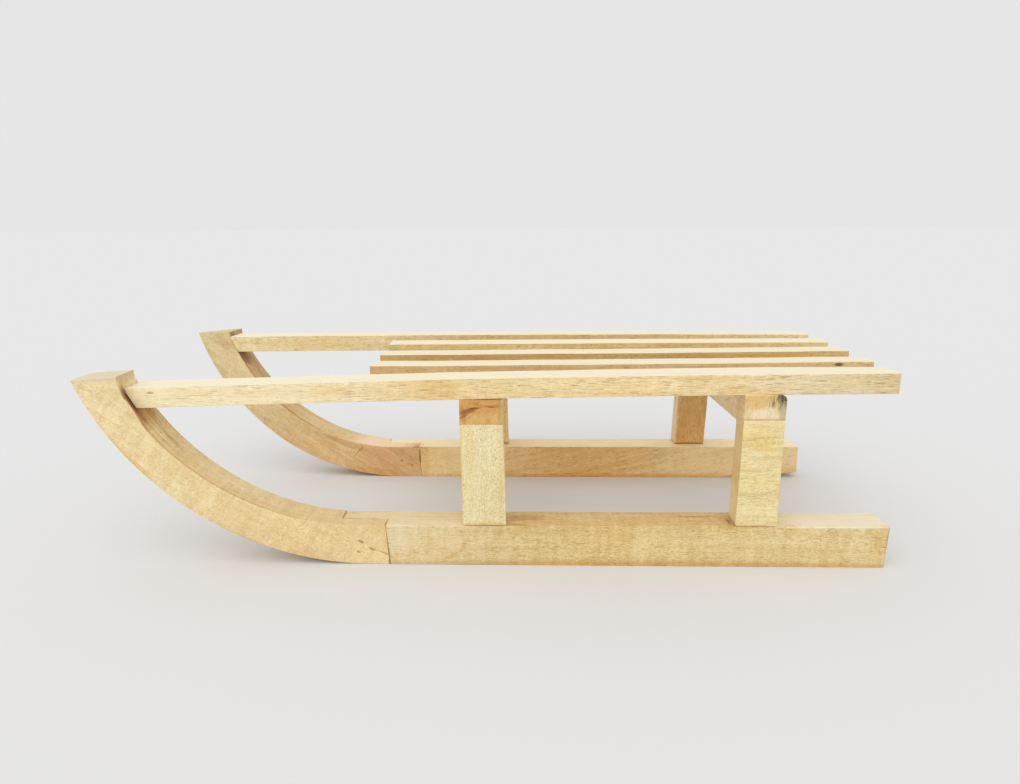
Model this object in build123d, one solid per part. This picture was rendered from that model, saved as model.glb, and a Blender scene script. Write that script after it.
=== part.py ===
# A wooden sled: two curled runners, four posts, two crossbars and five deck strips.
# Millimetres. X runs back from the horns, Y runs to the sled's right, and Z is up.
# The origin is on the ground, under the middle of the sled. Nothing on it moves.

import math
import os

from build123d import *

# Overall sizes
sled_length = 895.0
track_width = 329.5

# Runners: each bar tapers a little towards its joint with the horn
runner_width = 41.5
bar_height_rear = 48.6
bar_height_joint = 47.5

# The half lap splits the runner's width in two and leans back a little at the bottom
lap_front = 280.0
lap_length = 48.0
lap_lean = 3.0

# Horns: sawn between two arcs, flaring outwards and thinning a little towards the tip
horn_flare = 15.5
horn_thinning = 3.0
flare_start = 300.0
saw_margin = 20.0

# Posts and crossbars
post_depth = 26.8
crossbar_end_height = 27.6
crossbar_shoulder = 6.5
crossbar_worn_radius = 6.0

# Deck strips
rail_width = 33.5
rail_inset = 1.4
rail_front = 47.0
slat_width = 32.6
slat_pitch = 66.4
slat_shift = -3.4
slat_front = 301.0

# Each side of the sled: the horns were sawn by hand and differ a little
side_columns = ("side", "sign", "runner_length", "sole_radius", "tip_height", "heel_height")
side_table = [
    ("left", -1, 885.0, 328.0, 218.0, 221.0),
    ("right", 1, 892.5, 308.0, 220.0, 220.5),
]

# Each horn's hollow, at the faces of its runner with the lower and the higher Y: how far its arc's
# centre lies from the tips, the arc's radius, and the upright lip above the arc
hollow_columns = ("side", "face", "back", "radius", "lip")
hollow_table = [
    ("left", "low", 299.0, 281.0, 18.0),
    ("left", "high", 296.0, 265.0, 1.0),
    ("right", "low", 289.0, 256.0, 5.0),
    ("right", "high", 297.0, 262.0, 5.0),
]

# Each crossbar: its front face's distance from the tips, its width, and the seats at its two ends
crossbar_columns = ("place", "front", "width", "seat_left", "seat_right")
crossbar_table = [
    ("front", 412.6, 46.3, 193.3, 194.6),
    ("rear", 716.0, 44.0, 198.2, 194.5),
]

# Each post: its width, and how far its foot stands behind its head
post_columns = ("place", "side", "width", "foot")
post_table = [
    ("front", "left", 46.3, 2.1),
    ("front", "right", 46.3, 2.1),
    ("rear", "left", 44.0, -0.7),
    ("rear", "right", 44.0, -3.3),
]

# Each deck strip: how far its middle lies from the sled's, its height, both ends from the tips,
# and how far its front end droops below the straight line over the two crossbars
rail_centre = track_width / 2 - rail_inset - rail_width / 2
strip_columns = ("node", "centre", "width", "height", "front", "rear", "droop")
strip_table = [
    ("rail_left", -rail_centre, rail_width, 22.7, rail_front, 876.0, 4.7),
    ("slat_left", slat_shift - slat_pitch, slat_width, 21.4, slat_front, 885.0, 1.1),
    ("slat_middle", slat_shift, slat_width, 22.0, slat_front, 886.0, 1.0),
    ("slat_right", slat_shift + slat_pitch, slat_width, 23.7, slat_front, 888.0, 1.0),
    ("rail_right", rail_centre, rail_width, 22.7, rail_front, sled_length, 1.9),
]

# Cuts run past the faces that they open, and faces this near each other are taken as one
overcut = 1.0
touch = 0.01

half_track = track_width / 2
tip_x = -sled_length / 2
lap_back = lap_front + lap_length


def rows(columns, table):
    """Each row of a table as a dictionary of its named columns."""
    return [dict(zip(columns, row)) for row in table]


def from_tip(distance):
    """The X of a place measured back from the horns' tips."""
    return tip_x + distance


def bar_top(x):
    """The height of a runner bar's top face at a given X."""
    joint_x = from_tip(lap_front)
    share = (x - joint_x) / (from_tip(sled_length) - joint_x)
    return bar_height_joint + (bar_height_rear - bar_height_joint) * share


def prism_xz(points, y_low, y_high):
    """A straight-sided outline in the XZ plane, carried along Y."""
    face = make_face(Polyline(*[(x, 0, z) for x, z in points], close=True))
    return extrude(face, amount=y_high - y_low, dir=(0, 1, 0)).moved(Location((0, y_low, 0)))


def prism_yz(points, x_low, x_high):
    """A straight-sided outline in the YZ plane, carried along X."""
    face = make_face(Polyline(*[(0, y, z) for y, z in points], close=True))
    return extrude(face, amount=x_high - x_low, dir=(1, 0, 0)).moved(Location((x_low, 0, 0)))


def arc_by_centre(start, end, centre, radius):
    """The short arc in the XZ plane between two points of one circle, bulging away from its centre."""
    toward_x = (start[0] + end[0]) / 2 - centre[0]
    toward_z = (start[1] + end[1]) / 2 - centre[1]
    scale = radius / math.hypot(toward_x, toward_z)
    middle = (centre[0] + toward_x * scale, centre[1] + toward_z * scale)
    return ThreePointArc(*[(x, 0, z) for x, z in (start, middle, end)])


def side_span(sign):
    """The Y of a runner's low and high faces."""
    outer = sign * half_track
    inner = sign * (half_track - runner_width)
    return min(outer, inner), max(outer, inner)


def lap_block(y_low, y_high, x_seam, x_far):
    """The block of one half of the lap, from its leaning seam to a far X."""
    tall = max(bar_height_joint, bar_height_rear) + overcut
    lean = lap_lean * tall / bar_height_joint
    return prism_xz([(x_seam - lean / 2, tall), (x_seam + lean / 2, 0),
                     (x_far, 0), (x_far, tall)], y_low, y_high)


def horn_outline(side, y):
    """A horn's side outline at one Y: the sole's arc, the sloping top, the lip and the hollow's arc."""
    y_low, y_high = side_span(side["sign"])
    share = (y - y_low) / (y_high - y_low)
    low, high = side["hollows"]["low"], side["hollows"]["high"]
    back, radius, lip = (low[key] + (high[key] - low[key]) * share for key in ("back", "radius", "lip"))
    end_x = from_tip(lap_back) + lap_lean
    joint_z = bar_top(from_tip(lap_back))
    tip_z, heel_z, sole_r = side["tip_height"], side["heel_height"], side["sole_radius"]

    sole_x = tip_x + math.sqrt(sole_r ** 2 - (sole_r - tip_z) ** 2)
    centre_x, centre_z = from_tip(back), joint_z + radius
    lip_z = heel_z - lip
    heel_x = centre_x - math.sqrt(radius ** 2 - (centre_z - lip_z) ** 2)
    corners = [(end_x, 0), (sole_x, 0), (tip_x, tip_z), (heel_x, heel_z), (heel_x, lip_z),
               (centre_x, joint_z), (end_x, joint_z)]
    edges = [Line((a[0], 0, a[1]), (b[0], 0, b[1])) for a, b in zip(corners, corners[1:] + corners[:1])]
    edges[1] = arc_by_centre(corners[1], corners[2], (sole_x, sole_r), sole_r)
    edges[4] = arc_by_centre(corners[4], corners[5], (centre_x, centre_z), radius)
    return make_face(Wire(edges)).moved(Location((0, y, 0)))


def sawn_horn(side):
    """The horn before its outline from above is cut, a little wider than the runner at both faces."""
    y_low, y_high = side_span(side["sign"])
    faces = [horn_outline(side, y) for y in (y_low - saw_margin, y_high + saw_margin)]
    return loft(faces, ruled=True)


def horn(side):
    """A curled horn, cut to its flaring outline from above, less the bar's half of the lap."""
    tall = max(side["tip_height"], side["heel_height"]) + overcut
    body = sawn_horn(side) & extrude(horn_plan(side["sign"]), amount=tall, dir=(0, 0, 1))
    low, high = side_span(side["sign"])
    middle = (low + high) / 2
    far_x = from_tip(lap_back) + lap_lean + overcut
    body -= lap_block(middle, high + overcut, from_tip(lap_front), far_x)
    body -= lap_block(low - overcut, middle, from_tip(lap_back), far_x)
    return body


def horn_plan(sign):
    """A horn's outline from above: straight at the lap, then one wide arc a side to the flared tip."""
    low, high = side_span(sign)
    flare_low = sign * horn_flare
    flare_high = sign * horn_flare - horn_thinning
    bend_x = from_tip(flare_start)
    half_x = (tip_x + bend_x) / 2
    back_x = from_tip(lap_back) + lap_lean + overcut
    front_x = tip_x - overcut
    outline = [
        Line((back_x, low), (bend_x, low)),
        ThreePointArc((bend_x, low), (half_x, low + flare_low / 4), (tip_x, low + flare_low)),
        Line((tip_x, low + flare_low), (front_x, low + flare_low)),
        Line((front_x, low + flare_low), (front_x, high + flare_high)),
        Line((front_x, high + flare_high), (tip_x, high + flare_high)),
        ThreePointArc((tip_x, high + flare_high), (half_x, high + flare_high / 4), (bend_x, high)),
        Line((bend_x, high), (back_x, high)),
        Line((back_x, high), (back_x, low)),
    ]
    return make_face(Wire(outline))


def bar(side):
    """A straight runner bar, less the half of the lap that belongs to the horn."""
    low, high = side_span(side["sign"])
    middle = (low + high) / 2
    front_x = from_tip(lap_front) - lap_lean
    rear_x = from_tip(side["runner_length"])
    body = prism_xz([(front_x, 0), (rear_x, 0), (rear_x, bar_top(rear_x)),
                     (front_x, bar_top(front_x))], low, high)
    far_x = rear_x + overcut
    body &= lap_block(middle, high, from_tip(lap_front), far_x) + \
        lap_block(low, middle, from_tip(lap_back), far_x)
    return body


def seat_height(crossbar, y):
    """The height of a crossbar's top at a given Y."""
    share = (y + half_track) / track_width
    return crossbar["seat_left"] + (crossbar["seat_right"] - crossbar["seat_left"]) * share


def crossbar_blank(crossbar):
    """A crossbar with a shoulder inside each post, its top following its two seats."""
    neck_y = half_track - post_depth
    under_end = crossbar_end_height
    under_middle = crossbar_end_height + crossbar_shoulder
    top = [(y, seat_height(crossbar, y)) for y in (-half_track, half_track)]
    under = [(half_track, under_end), (neck_y, under_end), (neck_y, under_middle),
             (-neck_y, under_middle), (-neck_y, under_end), (-half_track, under_end)]
    points = top + [(y, seat_height(crossbar, y) - drop) for y, drop in under]
    front_x = from_tip(crossbar["front"])
    return prism_yz(points, front_x, front_x + crossbar["width"])


def post(row, crossbar, sign):
    """A post between a runner bar's top and a crossbar's end, leaning a little fore or aft."""
    outer = sign * half_track
    inner = outer - sign * post_depth
    y_low, y_high = min(outer, inner), max(outer, inner)
    head_x = from_tip(crossbar["front"])
    foot_x = head_x + row["foot"]
    head_z = {y: seat_height(crossbar, y) - crossbar_end_height for y in (y_low, y_high)}
    tall = max(head_z.values())
    foot_z = bar_top(foot_x)
    slope = (head_x - foot_x) / (tall - foot_z)
    ends = [(foot_x - slope * foot_z, 0), (foot_x - slope * foot_z + row["width"], 0),
            (head_x + row["width"], tall), (head_x, tall)]
    leaning = prism_xz(ends, y_low, y_high)

    front_x = min(head_x, foot_x) - overcut
    rear_x = max(head_x, foot_x) + row["width"] + overcut
    above_bar = prism_xz([(front_x, bar_top(front_x)), (rear_x, bar_top(rear_x)),
                          (rear_x, tall + overcut), (front_x, tall + overcut)], y_low, y_high)
    under_crossbar = prism_yz([(y_low, 0), (y_high, 0), (y_high, head_z[y_high]),
                               (y_low, head_z[y_low])], front_x, rear_x)
    return leaning & above_bar & under_crossbar


def circle_through(first, second, third):
    """The centre and radius of the circle through three points."""
    (ax, az), (bx, bz), (cx, cz) = first, second, third
    d = 2 * (ax * (bz - cz) + bx * (cz - az) + cx * (az - bz))
    a2, b2, c2 = ax * ax + az * az, bx * bx + bz * bz, cx * cx + cz * cz
    x = (a2 * (bz - cz) + b2 * (cz - az) + c2 * (az - bz)) / d
    z = (a2 * (cx - bx) + b2 * (ax - cx) + c2 * (bx - ax)) / d
    return (x, z), math.hypot(ax - x, az - z)


def strip_blank(strip, crossbars):
    """A deck strip bowed to one arc over its front end and its two seats."""
    seats = []
    for crossbar in crossbars:
        seat_x = from_tip(crossbar["front"]) + crossbar["width"] / 2
        seats.append((seat_x, seat_height(crossbar, strip["centre"])))
    slope = (seats[1][1] - seats[0][1]) / (seats[1][0] - seats[0][0])
    front_x = from_tip(strip["front"])
    rear_x = from_tip(strip["rear"])
    front_z = seats[0][1] + slope * (front_x - seats[0][0]) - strip["droop"]
    (centre_x, centre_z), radius = circle_through((front_x, front_z), *seats)

    def on_arc(x, lift):
        return centre_z + math.sqrt((radius + lift) ** 2 - (x - centre_x) ** 2)

    middle_x = (front_x + rear_x) / 2
    tall = strip["height"]
    under = ThreePointArc(*[(x, 0, on_arc(x, 0)) for x in (front_x, middle_x, rear_x)])
    over = ThreePointArc(*[(x, 0, on_arc(x, tall)) for x in (rear_x, middle_x, front_x)])
    outline = Wire([under, Line(under @ 1, over @ 0), over, Line(over @ 1, under @ 0)])
    y_low = strip["centre"] - strip["width"] / 2
    body = extrude(make_face(outline), amount=strip["width"], dir=(0, 1, 0))
    return body.moved(Location((0, y_low, 0)))


def worn_edge(body, rear_x):
    """The rear crossbar with its upper rear edge rounded by wear."""
    edges = [e for e in body.edges()
             if abs(e.center().X - rear_x) < touch and e.length > track_width / 2]
    top_edge = max(edges, key=lambda e: e.center().Z)
    return fillet(top_edge, crossbar_worn_radius)


sides = rows(side_columns, side_table)
hollows = rows(hollow_columns, hollow_table)
crossbars = rows(crossbar_columns, crossbar_table)
strips = rows(strip_columns, strip_table)

parts = {}
for side in sides:
    side["hollows"] = {row["face"]: row for row in hollows if row["side"] == side["side"]}
    parts[f"runner_horn_{side['side']}"] = horn(side)
    parts[f"runner_bar_{side['side']}"] = bar(side)

for row in rows(post_columns, post_table):
    crossbar = next(item for item in crossbars if item["place"] == row["place"])
    sign = next(item["sign"] for item in sides if item["side"] == row["side"])
    parts[f"post_{row['place']}_{row['side']}"] = post(row, crossbar, sign)

# The rails' front ends are scribed to the horns' hollows
for strip in strips:
    body = strip_blank(strip, crossbars)
    for side in sides:
        if strip["node"] == f"rail_{side['side']}":
            body -= sawn_horn(side)
    parts[strip["node"]] = body

# The strips are let into the crossbars by the hair's breadth that their bow leaves
for crossbar in crossbars:
    body = crossbar_blank(crossbar)
    if crossbar["place"] == "rear":
        body = worn_edge(body, from_tip(crossbar["front"] + crossbar["width"]))
    for strip in strips:
        body -= parts[strip["node"]]
    parts[f"crossbar_{crossbar['place']}"] = body

os.makedirs("parts", exist_ok=True)
for name, body in parts.items():
    solid = body.solids()[0] if len(body.solids()) == 1 else Compound(body.solids())
    solid.label = name
    export_step(solid, f"parts/{name}.step")
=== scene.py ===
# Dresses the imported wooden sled: eased hand-cut timbers in bare hardwood, in a plain pale studio.
# Metres. X runs back from the horns, Y to the sled's right and Z up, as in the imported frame.
import math

import bpy
import numpy as np
from mathutils import Matrix, Vector


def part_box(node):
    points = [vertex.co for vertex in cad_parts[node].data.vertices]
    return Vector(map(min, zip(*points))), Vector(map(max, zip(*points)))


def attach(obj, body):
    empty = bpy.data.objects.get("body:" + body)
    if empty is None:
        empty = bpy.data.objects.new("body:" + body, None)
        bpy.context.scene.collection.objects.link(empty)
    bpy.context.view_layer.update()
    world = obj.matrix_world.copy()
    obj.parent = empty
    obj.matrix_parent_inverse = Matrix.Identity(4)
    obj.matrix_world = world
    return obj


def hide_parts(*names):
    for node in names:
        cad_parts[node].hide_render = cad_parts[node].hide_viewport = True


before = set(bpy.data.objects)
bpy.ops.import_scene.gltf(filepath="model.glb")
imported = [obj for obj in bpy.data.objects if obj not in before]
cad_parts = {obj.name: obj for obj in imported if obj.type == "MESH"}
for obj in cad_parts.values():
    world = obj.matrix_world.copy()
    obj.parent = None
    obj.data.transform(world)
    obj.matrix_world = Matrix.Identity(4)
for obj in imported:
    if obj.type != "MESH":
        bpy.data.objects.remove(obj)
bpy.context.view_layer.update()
mm = 0.001

# what several pieces share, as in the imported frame
sled = {
    "tip": -447.5 * mm,          # distances back along the sled start at the horns' tips
    "sledLength": 895.0 * mm,
    "halfTrack": 164.75 * mm,    # from the sled's middle to a runner's outer face
    "runnerWidth": 41.5 * mm,
    "joint": 280.0 * mm,         # how far back a bar has its joint's height
    "barJoint": 47.5 * mm,       # height of a bar's top at its joint with the horn
    "barRear": 48.6 * mm,        # and at the sled's rear
    "lapBack": 328.0 * mm,
    "lapLean": 3.15 * mm,        # how far back a lap's shoulder runs from its top to its foot
    "play": 0.1 * mm,            # left open at each glued seam
}


def fromTip(distance):
    # the tips' X plus the distance back from them
    return sled["tip"] + distance


def barTop(x):
    # a straight taper from the joint's height to the rear's
    joint = fromTip(sled["joint"])
    share = (x - joint) / (fromTip(sled["sledLength"]) - joint)
    return sled["barJoint"] + (sled["barRear"] - sled["barJoint"]) * share


def sideSpan(sign):
    # the Y of a runner's low and high faces
    outer = sign * sled["halfTrack"]
    inner = sign * (sled["halfTrack"] - sled["runnerWidth"])
    return min(outer, inner), max(outer, inner)


# camera, floor and light

cameraSettings = {
    "imageWidth": 1020,
    "imageHeight": 784,
    "place": (0.0257, -0.9089, 0.3805),
    "yaw": -1.77,            # degrees, positive turns to the right
    "pitch": 13.81,          # degrees downwards
    "roll": -0.42,           # degrees
    "focalPixels": 717.8,
    "centreX": 494.6,        # where the lens axis meets the image
    "centreY": 395.9,
    "sensorWidth": 36.0,     # millimetres
    "clipStart": 0.02,
}

studioSettings = {
    "backdrop": (230, 230, 230),
    "floorColour": (220, 220, 220),
    "floorReach": 30.0,              # metres to each side
    "floorRoughness": 0.9,
    "floorShine": 0.0,
    "skyLight": 0.86,                # strength of the even white sky
    "sunLight": 1.05,
    "sunTurn": (38.0, 0.0, -14.0),   # degrees: tipped back towards the camera's side, then turned
    "sunSoft": 70.0,                 # degrees across, so that shadows are wide and faint
}


screenCurve = {"levels": 255, "knee": 0.04045, "slope": 12.92, "offset": 0.055, "power": 2.4}


def linear(colour):
    # screen values of 0 to 255 to linear light: a straight line below the knee and a power above it
    s = screenCurve
    share = np.array(colour, float) / s["levels"]
    bent = ((share + s["offset"]) / (1 + s["offset"])) ** s["power"]
    return (*np.where(share <= s["knee"], share / s["slope"], bent).tolist(), 1.0)


def placeCamera(s):
    # looks along a yaw and a pitch, rolls about that line, and shifts the frame by as much as the lens
    # axis is off its middle
    yaw, pitch, roll = (math.radians(s[k]) for k in ("yaw", "pitch", "roll"))
    reach = math.cos(pitch)
    forward = Vector((math.sin(yaw) * reach, math.cos(yaw) * reach, -math.sin(pitch)))
    level = Vector((math.cos(yaw), -math.sin(yaw), 0.0))
    up = level.cross(forward)
    right = math.cos(roll) * level + math.sin(roll) * up
    above = -math.sin(roll) * level + math.cos(roll) * up
    lens = bpy.data.cameras.new("photoCamera")
    lens.sensor_width = s["sensorWidth"]
    lens.lens = s["focalPixels"] / s["imageWidth"] * lens.sensor_width
    lens.shift_x = (s["imageWidth"] / 2 - s["centreX"]) / s["imageWidth"]
    lens.shift_y = (s["centreY"] - s["imageHeight"] / 2) / s["imageWidth"]
    lens.clip_start = s["clipStart"]
    camera = bpy.data.objects.new("photoCamera", lens)
    turn = Matrix((right, above, -forward)).transposed().to_4x4()
    camera.matrix_world = Matrix.Translation(Vector(s["place"])) @ turn
    bpy.context.scene.collection.objects.link(camera)
    bpy.context.scene.camera = camera
    print("camera placed")


# the numbers that a Mix node gives its colour sockets
mixSockets = {"share": 0, "first": 6, "second": 7, "result": 2}


class Signal:
    # one socket of a node tree: arithmetic on signals adds Math nodes, and make adds any other node
    def __init__(self, tree, socket=None):
        self.tree = tree
        self.socket = socket

    def make(self, kind, settings, sockets, output=0):
        # settings first, then the value or the link of each socket
        node = self.tree.nodes.new(kind)
        for name, value in settings.items():
            setattr(node, name, value)
        for name, value in sockets.items():
            if isinstance(value, Signal):
                self.tree.links.new(value.socket, node.inputs[name])
            else:
                node.inputs[name].default_value = value
        return Signal(self.tree, node.outputs[output])

    def maths(self, operation, *values):
        # one Math node on up to three values
        sockets = dict(enumerate(values))
        return self.make("ShaderNodeMath", {"operation": operation}, sockets)

    def __add__(self, other):
        return self.maths("ADD", self, other)

    __radd__ = __add__

    def __sub__(self, other):
        return self.maths("SUBTRACT", self, other)

    def __rsub__(self, other):
        return self.maths("SUBTRACT", other, self)

    def __mul__(self, other):
        return self.maths("MULTIPLY", self, other)

    __rmul__ = __mul__

    def unsigned(self):
        # without its minus sign
        return self.maths("ABSOLUTE", self)

    def clamped(self):
        # held between 0 and 1
        return self.make("ShaderNodeClamp", {}, {"Value": self})

    def between(self, low, high):
        # 0 below low and 1 above high, with a smooth step
        return self.make("ShaderNodeMapRange", {"interpolation_type": "SMOOTHSTEP"},
                         {"Value": self, "From Min": low, "From Max": high})

    def scaled(self, amounts):
        # a vector times another, axis by axis
        return self.make("ShaderNodeVectorMath", {"operation": "MULTIPLY"}, {0: self, 1: amounts})

    def shifted(self, amounts):
        # a vector plus another
        return self.make("ShaderNodeVectorMath", {"operation": "ADD"}, {0: self, 1: amounts})

    def length(self):
        # the root of a vector's summed squares
        return self.make("ShaderNodeVectorMath", {"operation": "LENGTH"}, {0: self}, "Value")

    def part(self, axis):
        # one axis of a vector
        return self.make("ShaderNodeSeparateXYZ", {}, {0: self}, axis)

    def noise(self, scales, detail=2.0, roughness=0.5, output=0):
        # noise at this place times a scale for each axis, which is one over the size of a feature
        sockets = {"Vector": self.scaled(scales), "Scale": 1.0, "Detail": detail, "Roughness": roughness}
        return self.make("ShaderNodeTexNoise", {}, sockets, output)

    def mixed(self, first, second, blend="MIX"):
        # this signal is the share of the second colour
        sockets = {mixSockets["share"]: self, mixSockets["first"]: first, mixSockets["second"]: second}
        return self.make("ShaderNodeMix", {"data_type": "RGBA", "blend_type": blend}, sockets,
                         mixSockets["result"])

    def tinted(self, colour, tint):
        # this signal is the share of a tint that multiplies the colour
        return self.mixed(colour, (*tint, 1.0), "MULTIPLY")


def makeStudio(s):
    # one wide soft sun, an even sky, and a floor that meets a backdrop of the same paleness
    sky = bpy.data.worlds.new("studioSky")
    sky.use_nodes = True
    tree = sky.node_tree
    start = Signal(tree)
    # rays from the camera, off gloss and through glass see the backdrop, and all others the sky's light
    seen = [start.make("ShaderNodeLightPath", {}, {}, ray)
            for ray in ("Is Camera Ray", "Is Glossy Ray", "Is Transmission Ray")]
    shown = (seen[0] + seen[1] + seen[2]).clamped()
    lit = start.make("ShaderNodeBackground", {}, {"Color": (1, 1, 1, 1), "Strength": s["skyLight"]})
    pale = start.make("ShaderNodeBackground", {}, {"Color": linear(s["backdrop"]), "Strength": 1.0})
    both = start.make("ShaderNodeMixShader", {}, {0: shown, 1: lit, 2: pale})
    tree.links.new(both.socket, tree.nodes["World Output"].inputs["Surface"])
    bpy.context.scene.world = sky

    sun = bpy.data.lights.new("softSun", "SUN")
    sun.energy = s["sunLight"]
    sun.angle = math.radians(s["sunSoft"])
    lamp = bpy.data.objects.new("softSun", sun)
    lamp.rotation_euler = [math.radians(turn) for turn in s["sunTurn"]]
    bpy.context.scene.collection.objects.link(lamp)

    reach = s["floorReach"]
    mesh = bpy.data.meshes.new("studioFloor")
    corners = [(-reach, -reach, 0), (reach, -reach, 0), (reach, reach, 0), (-reach, reach, 0)]
    mesh.from_pydata(corners, [], [(0, 1, 2, 3)])
    floor = bpy.data.objects.new("studioFloor", mesh)
    bpy.context.scene.collection.objects.link(floor)
    paint = bpy.data.materials.new("floorPaint")
    paint.use_nodes = True
    surface = paint.node_tree.nodes["Principled BSDF"]
    surface.inputs["Base Color"].default_value = linear(s["floorColour"])
    surface.inputs["Roughness"].default_value = s["floorRoughness"]
    surface.inputs["Specular IOR Level"].default_value = s["floorShine"]
    mesh.materials.append(paint)
    print("studio lit")


# timbers: blocks of cells, bent into place by one function each

timberSettings = {
    "planerWaves": (0.31, 0.17, 0.083),    # metres, how planing wavers along a timber
    "faceReach": 0.25,                     # the share of its width that moves with a planed face
    "sameLine": 9,                         # decimals to which two lines of a grid count as one
    "rounds": 3,                           # in which a point that depends on its own place settles
}


def merged(runs):
    # all the runs' lines in order, each one once
    return np.unique(np.concatenate(runs).round(timberSettings["sameLine"]))


def gridLines(stops, spacing):
    # a line at each stop, and even ones between two stops, about one spacing apart
    return merged([np.linspace(a, b, max(1, round((b - a) / spacing)) + 1)
                   for a, b in zip(stops, stops[1:])])


def skinOf(filled):
    # the faces between filled and empty cells of a block, each turned to look out of the filled one:
    # along each axis, a step in the filling is a face whose corners run round the other two axes
    index = np.arange(np.prod(np.array(filled.shape) + 1)).reshape(np.array(filled.shape) + 1)
    faces = []
    for axis in range(3):
        order = (axis, (axis + 1) % 3, (axis + 2) % 3)
        corner = index.transpose(order)
        cells = filled.astype(int).transpose(order)
        step = np.diff(np.pad(cells, ((1, 1), (0, 0), (0, 0))), axis=0)
        ring = np.stack([corner[:, :-1, :-1], corner[:, 1:, :-1],
                         corner[:, 1:, 1:], corner[:, :-1, 1:]], -1)
        faces += [ring[step < 0], ring[step > 0][:, ::-1]]
    return np.concatenate(faces)


def wander(along, seed, waves=timberSettings["planerWaves"]):
    # how hand planing wavers along a timber: three sines of different lengths, from 0 to 1
    phases = np.random.default_rng(seed).uniform(0, 2 * math.pi, len(waves))
    total = sum(np.sin(2 * math.pi * along / wave + phase) for wave, phase in zip(waves, phases))
    return 0.5 + total / (2 * len(waves))


def planed(share, low, high):
    # a step inwards by low at the timber's first face (share 0), and by high at its last (share 1)
    reach = timberSettings["faceReach"]
    return low * (share < reach) - high * (share > 1 - reach)


edgeWear = {
    "width": {"horn_wood": 1.2 * mm, "bar_wood": 1.0 * mm, "post_wood": 1.1 * mm,
              "crossbar_wood": 0.8 * mm, "deck_wood": 0.7 * mm},
    "segments": 3,
    "sharpest": 34.0,                      # degrees between two faces that stay as they are
    "least": 0.55,                         # the narrowest easing, as a share of the widest
    "waves": (0.11, 0.047, 0.029),         # metres
}


def easeEdges(mesh, wear, seed):
    # an edge whose two faces turn by more than a limit is eased, by a width that wanders with the sum
    # of its X, Y and Z. Each face has four corners, and each edge two faces
    edgeOfLoop = np.empty(len(mesh.loops), np.int32)
    mesh.loops.foreach_get("edge_index", edgeOfLoop)
    normals = np.empty(len(mesh.polygons) * 3)
    mesh.polygons.foreach_get("normal", normals)
    normals = normals.reshape(-1, 3)
    faceOfLoop = np.repeat(np.arange(len(mesh.polygons)), 4)
    pairs = faceOfLoop[np.argsort(edgeOfLoop, kind="stable")].reshape(-1, 2)
    alike = (normals[pairs[:, 0]] * normals[pairs[:, 1]]).sum(1)
    turned = alike < math.cos(math.radians(wear["sharpest"]))
    ends = np.empty(len(mesh.edges) * 2, np.int32)
    mesh.edges.foreach_get("vertices", ends)
    places = np.empty(len(mesh.vertices) * 3)
    mesh.vertices.foreach_get("co", places)
    middles = places.reshape(-1, 3)[ends.reshape(-1, 2)].mean(1)
    uneven = wander(middles.sum(1), seed, wear["waves"])
    weights = turned * (wear["least"] + (1 - wear["least"]) * uneven)
    mesh.attributes.new("bevel_weight_edge", "FLOAT", "EDGE").data.foreach_set("value", weights)


def makeTimber(node, slot, lines, shape, missing, seed):
    # a block of cells, less the missing ones, whose skin is bent into place by the shape's formula
    middles = np.meshgrid(*[(line[1:] + line[:-1]) / 2 for line in lines], indexing="ij")
    filled = ~missing(*middles) if missing else np.ones(middles[0].shape, bool)
    faces = skinOf(filled)
    used, faces = np.unique(faces, return_inverse=True)
    faces = faces.reshape(-1, 4)
    across = [grid.ravel()[used] for grid in np.meshgrid(*lines, indexing="ij")]
    places, timberPlace = shape(*across)

    mesh = bpy.data.meshes.new(node + "_wood")
    mesh.from_pydata(np.stack(places, 1), [], faces)
    mesh.attributes.new("timber", "FLOAT_VECTOR", "POINT").data.foreach_set(
        "vector", np.stack(timberPlace, 1).astype(np.float32).ravel())
    mesh.shade_smooth()
    easeEdges(mesh, edgeWear, seed)
    piece = bpy.data.objects.new(node + "_wood", mesh)
    bpy.context.scene.collection.objects.link(piece)
    bevel = piece.modifiers.new("easedEdges", "BEVEL")
    bevel.width = edgeWear["width"][slot]
    bevel.segments = edgeWear["segments"]
    bevel.limit_method = "WEIGHT"
    bevel.harden_normals = True
    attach(piece, "root")
    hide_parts(node)
    mesh.materials.append(woodMaterial(node, woods[node]))


# horns: sawn between two arcs, flared outwards, with half of the runner's width left for the lap

hornTable = {
    # the sole's arc, the top's height at the tip, how much lower it is there at the higher Y, the top's
    # height at the hollow, and where the lap starts. Then the hollow at the faces with the lower and the
    # higher Y: how far back its arc's centre is, its radius, and the straight lip above it
    "left": {
        "sign": -1, "soleRadius": 328.0 * mm, "tipHeight": 218.0 * mm, "tipDrop": 0.0,
        "heelHeight": 221.0 * mm, "lapFront": 275.4 * mm,
        "back": (299.0 * mm, 296.0 * mm), "radius": (281.0 * mm, 265.0 * mm),
        "lip": (18.0 * mm, 1.0 * mm)},
    "right": {
        "sign": 1, "soleRadius": 313.0 * mm, "tipHeight": 220.0 * mm, "tipDrop": 4.0 * mm,
        "heelHeight": 221.4 * mm, "lapFront": 280.0 * mm,
        "back": (289.0 * mm, 297.0 * mm), "radius": (256.0 * mm, 262.0 * mm),
        "lip": (0.0, 5.0 * mm)},
}

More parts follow.
